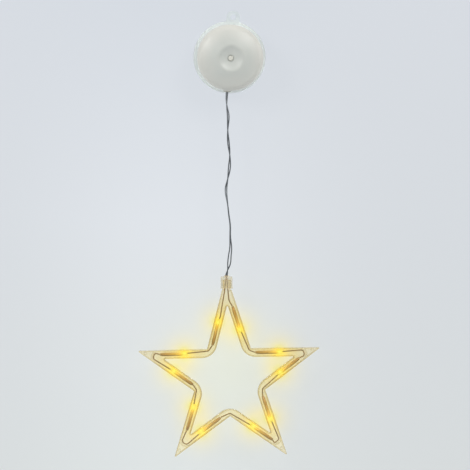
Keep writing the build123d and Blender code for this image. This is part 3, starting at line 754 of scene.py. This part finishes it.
class STAR_OT_star(bpy.types.Operator):
    """Finishes the clear star and its cap"""

    bl_idname = "window_star.star"
    bl_label = "Clear star"

    def execute(self, context):
        settings = context.scene.star_star
        clear = self.clear_finish(settings)
        dress(clear, "star_front_shell")
        stand_for(self.back(), "star", clear, "star_back_cover")
        dress(self.cap_finish(settings), "hanger_cap")
        return {"FINISHED"}

    def back(self):
        """The star's back. Its inner face lies a hair behind the shell's walls, because light can't
        find its way through two clear faces that share one plane."""
        piece = merged_copy("star_back_cover", "star_back")
        plate_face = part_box("star_back_cover")[1].y - BACK_PLATE

        def on_plate(face):
            faces_front = face.normal.dot(FRONT) > 0.9
            return faces_front and abs(face.center.y - plate_face) < FACE_TOLERANCE

        edit(piece, chosen=on_plate)
        bpy.ops.transform.translate(value=(0, BACK_SEAT_GAP, 0))
        close()
        bpy.ops.object.shade_smooth_by_angle(angle=radians(30))
        return piece

    def edge_shade_masks(self, finish, reach):
        """1 along a piece's edges and inner corners, where painted shade stands in for refraction,
        and 0 away from them, and with it a softer band of painted shade along those edges, and on
        those walls, that face left or right."""
        turned = finish.node("ShaderNodeBevel", {"samples": 6}, {"Radius": reach})
        flat = finish.node("ShaderNodeNewGeometry", output="Normal")
        facing = finish.vector_math("DOT_PRODUCT", turned, flat, output="Value").math("ABSOLUTE")
        sideways = finish.axis("X", turned).math("ABSOLUTE")
        return facing.rise(EDGE_SHADE_STARTS, EDGE_SHADE_FULLY), sideways.rise(UPRIGHT_SHADE_STARTS, UPRIGHT_SHADE_FULLY)

    def clear_finish(self, settings):
        """Clear plastic that is tinted yellow, with painted light near each light and painted shade
        along its edges and upright walls.
        """
        finish = Finish(
            "star_clear", settings.plate_tint, roughness=0.05, ior=1.49, transmission_weight=1
        )
        near_light = light_shine(finish, settings.glow_reach)
        far_light = light_shine(finish, settings.tint_reach)
        # Painted light: the plates turn warmer in reach of the lights, and yellower next to them
        plate = finish.mix(far_light, settings.plate_tint, settings.lit_tint)
        plate = finish.mix(near_light, plate, settings.glow_tint)
        # Painted shade along the edges, paler far from the lights, with painted light added next to
        # a light
        line = finish.mix(far_light, settings.tip_edge_shade_tint, settings.edge_shade_tint)
        line = finish.mix(near_light, line, settings.glow_edge_shade_tint)
        edge_shade_share, upright_shade_share = self.edge_shade_masks(finish, settings.edge_shade_reach)
        tint = finish.mix(edge_shade_share, plate, line)
        # Painted shade along upright edges and walls, weaker far from the lights
        tint = finish.mix(upright_shade_share * far_light, tint, settings.upright_shade_tint, "MULTIPLY")
        finish.put("Base Color", tint)
        # Painted light: the plastic glows, most next to a light
        finish.shine(finish.mix(near_light, settings.far_glow_colour, settings.glow_colour))
        inputs = {"Color": settings.wall_tint, "Density": settings.wall_density}
        finish.send("Volume", finish.node("ShaderNodeVolumeAbsorption", inputs=inputs))
        finish.pass_shadow_light(STAR_SHADOW)
        return finish.material

    def cap_finish(self, settings):
        finish = Finish(
            "cap_beige", settings.cap_deep, roughness=0.16, ior=1.4, transmission_weight=0.85
        )
        cloud = finish.noise(200, detail=3)
        finish.put("Base Color", finish.mix(cloud, settings.cap_deep, settings.cap_pale))
        finish.bump(finish.noise(900), strength=0.2)
        finish.pass_shadow_light(CAP_SHADOW)
        return finish.material


# Lights, sleeves and string wires

LENS_COLOUR = (0.2, 0.15, 0.02)

SLEEVE_LENGTH = 21 * MM
SLEEVE_WIDTH = 3.6 * MM
SLEEVE_DEPTH = 5.2 * MM
SLEEVE_WALL = 0.35 * MM
SLEEVE_MOUTH_DEPTH = 1.5 * MM
SLEEVE_SIDES = 24

# Points of a sleeve's first ring that are nearer than this to its middle stay where they are when
# the ring is drawn out to an oval
MIDDLE_REACH = 0.01 * MM

# Each ring of a sleeve: its place along it, its width and depth as shares of the ring before, and
# how far it lies in front of the ring before
SLEEVE_RINGS = (
    (0.4 * MM, 1.0, 1.0, 0),
    (1.6 * MM, 0.94, 0.96, 0),
    (5.0 * MM, 0.98, 0.97, 0),
    (10.0 * MM, 1.03, 1.02, 0),
    (15.5 * MM, 1.0, 0.98, 0),
    (18.2 * MM, 0.93, 0.86, -0.2 * MM),
    (19.8 * MM, 0.84, 0.72, -0.5 * MM),
    (SLEEVE_LENGTH, 0.92, 0.82, -0.4 * MM),
)

# The sleeves' brown from the light to the far end, the stain that clouds it, and what they give
# off at the light
SLEEVE_STOPS = (
    (0, paint(208, 174, 78)),
    (0.3, paint(188, 156, 78)),
    (0.65, paint(166, 133, 66)),
    (1, paint(140, 108, 56)),
)
SLEEVE_STAIN = paint(142, 108, 52)
SLEEVE_GLOW = (0.3, 0.23, 0.01)

# The halo's round sheet, and how far behind the star it is
HALO_RADIUS = 130 * MM
HALO_SIDES = 64
HALO_GAP = 3 * MM

# How strongly the near halo, the far halo and the haze tint what is seen through them
NEAR_TINT, FAR_TINT, HAZE_TINT = 0.45, 0.26, 0.05
TINTED_AIR = (1, 1, 0)


class STAR_OT_lights(bpy.types.Operator):
    """Finishes the lights, their sleeves and the string wires, and adds the lights' halo"""

    bl_idname = "window_star.lights"
    bl_label = "Lights"

    def execute(self, context):
        settings = context.scene.star_lights
        lights = [f"light_{number}" for number in range(1, LIGHT_COUNT + 1)]
        wires = [f"string_wire_{number}" for number in range(1, LIGHT_COUNT + 2)]
        dress(self.light_finish(settings), *lights)
        self.add_sleeves(self.sleeve_finish(settings))
        dress(self.string_finish(settings), *wires)
        self.add_halo(settings)
        return {"FINISHED"}

    def light_finish(self, settings):
        finish = Finish("light_lens", LENS_COLOUR, roughness=0.2)
        core = light_shine(finish, settings.core_reach)
        finish.shine(finish.mix(core, settings.light_colour, settings.core_colour))
        return finish.material

    def sleeve(self):
        """One sleeve along +X, oval, drawn in round the wire at its far end. Its attribute "along"
        runs from 0 at the light to 1."""
        bpy.ops.object.select_all(action="DESELECT")
        bpy.ops.mesh.primitive_circle_add(
            vertices=SLEEVE_SIDES,
            radius=SLEEVE_WIDTH / 2,
            fill_type="NGON",
            rotation=(0, pi / 2, 0),
        )
        piece = set_down("sleeve")
        spread = (SLEEVE_DEPTH - SLEEVE_WIDTH) / 2
        for side in (-1, 1):
            edit(piece, "VERT", lambda vertex: side * vertex.co.z > MIDDLE_REACH)
            bpy.ops.transform.translate(value=(0, 0, side * spread))
            close()
        edit(piece)
        reached = 0
        for place, width, depth, shift in SLEEVE_RINGS:
            step = {"value": (place - reached, 0, shift)}
            bpy.ops.mesh.extrude_region_move(TRANSFORM_OT_translate=step)
            bpy.ops.transform.resize(value=(1, width, depth))
            reached = place
        bpy.ops.mesh.inset(thickness=SLEEVE_WALL)
        step = {"value": (-SLEEVE_MOUTH_DEPTH, 0, 0)}
        bpy.ops.mesh.extrude_region_move(TRANSFORM_OT_translate=step)
        bpy.ops.mesh.select_all(action="SELECT")
        bpy.ops.mesh.normals_make_consistent(inside=False)
        close()
        bpy.ops.object.shade_smooth_by_angle(angle=radians(40))
        along = piece.data.attributes.new("along", "FLOAT", "POINT")
        for value, vertex in zip(along.data, piece.data.vertices):
            value.value = vertex.co.x / SLEEVE_LENGTH
        return piece

    def add_sleeves(self, material):
        """A copy of the one sleeve behind each light, turned along its limb."""
        pattern = self.sleeve()
        for number in range(1, LIGHT_COUNT + 1):
            node_name = f"light_sleeve_{number}"
            centre = middle(node_name)
            way = ((centre - middle(f"light_{number}")) * FLAT).normalized()
            turn = Matrix((way, FRONT.cross(way), FRONT)).transposed().to_4x4()
            start = Matrix.Translation(centre - way * SLEEVE_LENGTH / 2)
            piece = bpy.data.objects.new(f"sleeve_{number}", pattern.data.copy())
            bpy.context.scene.collection.objects.link(piece)
            piece.data.transform(start @ turn)
            stand_for(piece, "star", material, node_name)
        bpy.data.objects.remove(pattern)

    def sleeve_finish(self, settings):
        """Brown sleeving with a lumpy surface, glowing at its light."""
        finish = Finish("sleeve_brown", SLEEVE_STAIN, roughness=0.42)
        along = finish.node("ShaderNodeAttribute", {"attribute_name": "along"}, output="Fac")
        cloud = finish.noise(420, detail=3)
        brown = finish.ramp(along, SLEEVE_STOPS)
        finish.put("Base Color", finish.mix(cloud * 0.5, brown, SLEEVE_STAIN))
        glow = light_shine(finish, settings.sleeve_reach)
        finish.shine(finish.mix(glow, BLACK, SLEEVE_GLOW))
        finish.bump(finish.noise(600, detail=3), strength=0.4, depth=0.15 * MM)
        return finish.material

    def string_finish(self, settings):
        finish = Finish("string_dark", settings.string_dark, roughness=0.45)
        wear = finish.noise(900)
        finish.put("Base Color", finish.mix(wear, settings.string_dark, settings.string_light))
        return finish.material

    def add_halo(self, settings):
        """The glow in the air round the lights, on a clear sheet close behind the star. It swings
        with the star."""
        centre = middle("star_back_cover")
        centre.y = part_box("star_back_cover")[1].y + HALO_GAP
        bpy.ops.mesh.primitive_circle_add(
            vertices=HALO_SIDES,
            radius=HALO_RADIUS,
            fill_type="NGON",
            location=centre,
            rotation=UPRIGHT,
        )
        sheet = set_down("halo")
        sheet.data.materials.append(self.halo_finish(settings, centre))
        sheet.visible_shadow = False
        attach(sheet, "star")

    def halo_finish(self, settings, centre):
        """Clear air that is tinted and glows near each light, and faintly within the star."""
        finish = Finish("halo", BLACK)
        near_light = light_shine(finish, settings.halo_near)
        far_light = light_shine(finish, settings.halo_far)
        out = finish.vector_math("DISTANCE", finish.place(), centre, output="Value")
        haze = out.bell(settings.haze_reach)
        tinted = near_light * NEAR_TINT + far_light * FAR_TINT + haze * HAZE_TINT
        tint = finish.mix(tinted, WHITE, TINTED_AIR)
        halo = finish.mix(far_light, BLACK, settings.halo_colour)
        air = finish.mix(haze, BLACK, settings.haze_colour)
        clear = finish.node("ShaderNodeBsdfTransparent", inputs={"Color": tint})
        glow = finish.vector_math("ADD", halo, air)
        lit = finish.node("ShaderNodeEmission", inputs={"Color": glow})
        finish.send("Surface", finish.node("ShaderNodeAddShader", inputs={0: clear, 1: lit}))
        finish.material.cycles.emission_sampling = "NONE"
        return finish.material


# Panel and order of work

SETTINGS = {
    "star_unit": UnitSettings,
    "star_cords": CordSettings,
    "star_star": StarSettings,
    "star_lights": LightSettings,
    "star_stage": StageSettings,
}
STEPS = (STAR_OT_stage, STAR_OT_lead_wires, STAR_OT_unit, STAR_OT_star, STAR_OT_lights)


class STAR_PT_pieces(bpy.types.Panel):
    """Lists the star's settings and the operators that make it"""

    bl_idname = "STAR_PT_pieces"
    bl_label = "Lighted window star"
    bl_space_type = "VIEW_3D"
    bl_region_type = "UI"
    bl_category = "Window star"

    def draw(self, context):
        for key, group in SETTINGS.items():
            box = self.layout.box()
            for name in group.__annotations__:
                box.prop(getattr(context.scene, key), name)
        for step in STEPS:
            self.layout.operator(step.bl_idname)


CLASSES = (*SETTINGS.values(), *STEPS, STAR_PT_pieces)


def register():
    for item in CLASSES:
        bpy.utils.register_class(item)
    for key, group in SETTINGS.items():
        setattr(bpy.types.Scene, key, PointerProperty(type=group))


def unregister():
    for key in SETTINGS:
        delattr(bpy.types.Scene, key)
    for item in reversed(CLASSES):
        bpy.utils.unregister_class(item)


def main():
    register()
    bpy.ops.window_star.stage()
    bpy.ops.window_star.lead_wires()
    bpy.ops.window_star.unit()
    bpy.ops.window_star.star()
    bpy.ops.window_star.lights()


if __name__ == "__main__":
    main()
